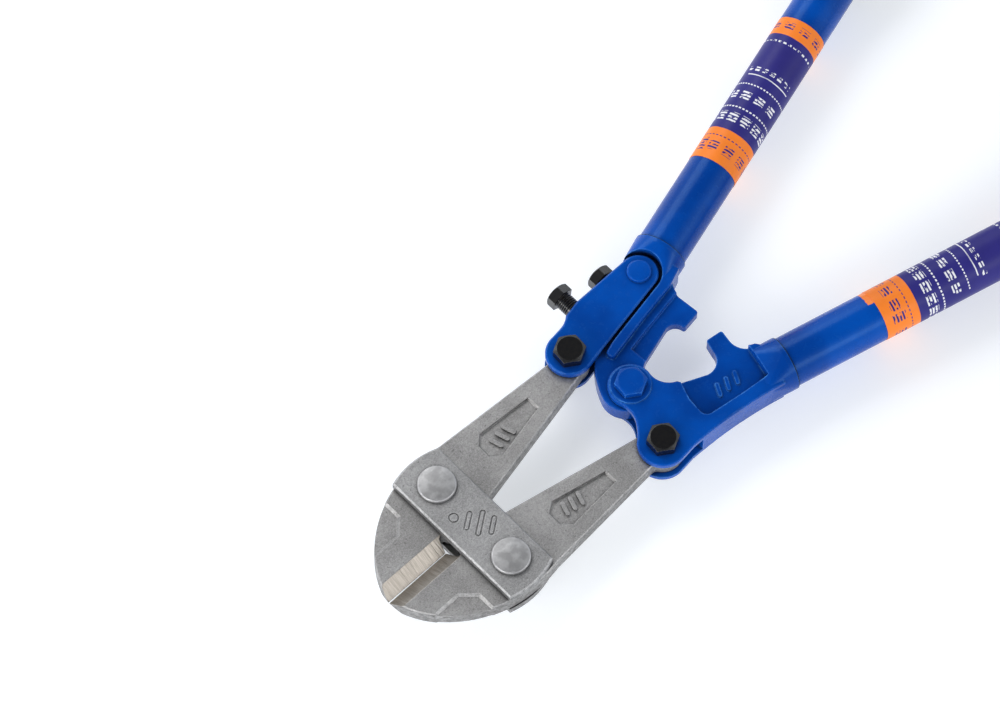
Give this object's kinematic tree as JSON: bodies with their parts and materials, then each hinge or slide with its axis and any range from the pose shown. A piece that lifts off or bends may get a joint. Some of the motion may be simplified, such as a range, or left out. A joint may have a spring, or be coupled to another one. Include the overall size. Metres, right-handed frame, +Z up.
{
  "type": "bolt cutter",
  "caption": "Hand bolt cutters lying flat: forged cutting jaws held by side plates, compound fork and adjusting-link handle heads, round blue tube handles with rubber grips.",
  "frame": {"origin": "on the axis of the main pivot bolt, at the plane the tool lies on", "axes": "+X from the main pivot to the jaws, +Y to the handle with the fork, +Z up through the flat side of the tool"},
  "size_m": [0.4558, 0.2381, 0.031],
  "materials": {
    "forged_steel": "grey sand-blasted forging, ground bevels",
    "plate_steel": "grey sand-blasted plate with bright edges",
    "rivet_steel": "smooth pressed rivet head",
    "blue_paint": "glossy blue enamel",
    "black_steel": "black oxide, bright on worn corners",
    "label_film": "printed film, violet with orange end bands",
    "grip_rubber": "matt black rubber"
  },
  "bodies": {
    "side_plates": {"jaw_strap_top": "plate_steel", "jaw_strap_bottom": "plate_steel", "jaw_rivet_pos": "rivet_steel", "jaw_rivet_neg": "rivet_steel"},
    "jaw_pos": {"jaw_pos": "forged_steel"},
    "jaw_neg": {"jaw_neg": "forged_steel"},
    "clevis_handle": {"clevis_head": "blue_paint", "handle_tube_pos": "blue_paint", "label_pos": "label_film", "grip_pos": "grip_rubber", "main_bolt": "blue_paint", "main_nut": "blue_paint", "jaw_pos_bolt": "black_steel", "jaw_pos_nut": "black_steel"},
    "link": {"adjusting_link": "blue_paint", "jaw_neg_bolt": "black_steel", "jaw_neg_nut": "black_steel", "link_rivet": "blue_paint"},
    "link_handle": {"link_head": "blue_paint", "handle_tube_neg": "blue_paint", "label_neg": "label_film", "grip_neg": "grip_rubber"},
    "jack_screw": {"jack_screw": "black_steel"},
    "clamp_screw": {"clamp_screw": "black_steel"}
  },
  "joints": [
    {"name": "jaw_pos_pivot", "type": "hinge", "parent": "side_plates", "child": "jaw_pos", "pos_m": [0.0895, 0.022, 0.0155], "axis": [0, 0, 1], "range_deg": [-0.17, 4.01]},
    {"name": "jaw_neg_pivot", "type": "hinge", "parent": "side_plates", "child": "jaw_neg", "pos_m": [0.0895, -0.022, 0.0155], "axis": [0, 0, -1], "range_deg": [-0.17, 4.01]},
    {"name": "clevis_handle_pivot", "type": "hinge", "parent": "jaw_pos", "child": "clevis_handle", "pos_m": [0.00843, 0.02764, 0.0155], "axis": [0, 0, -1], "range_deg": [-1.2, 29]},
    {"name": "link_pivot", "type": "hinge", "parent": "jaw_neg", "child": "link", "pos_m": [0.00843, -0.02764, 0.0155], "axis": [0, 0, 1], "range_deg": [-1.2, 29]},
    {"name": "adjusting_pivot", "type": "hinge", "parent": "link", "child": "link_handle", "pos_m": [-0.0385, -0.0346, 0.0155], "axis": [0, 0, 1], "range_deg": [-0.5, 0.5]},
    {"name": "jack_screw_travel", "type": "slide", "parent": "link", "child": "jack_screw", "axis": [0, 1, 0], "range_m": [-0.0003, 0.0003]},
    {"name": "clamp_screw_travel", "type": "slide", "parent": "link", "child": "clamp_screw", "axis": [0, 1, 0], "range_m": [-0.0001, 0.0001]}
  ],
  "couplings": [
    {"joint": "jaw_pos_pivot", "follows": "clevis_handle_pivot", "ratio": 0.13793},
    {"joint": "jaw_neg_pivot", "follows": "clevis_handle_pivot", "ratio": 0.13793},
    {"joint": "link_pivot", "follows": "clevis_handle_pivot", "ratio": 1},
    {"joint": "jack_screw_travel", "follows": "adjusting_pivot", "m_per_rad": 0.0293},
    {"joint": "clamp_screw_travel", "follows": "adjusting_pivot", "m_per_rad": 0.0109}
  ]
}
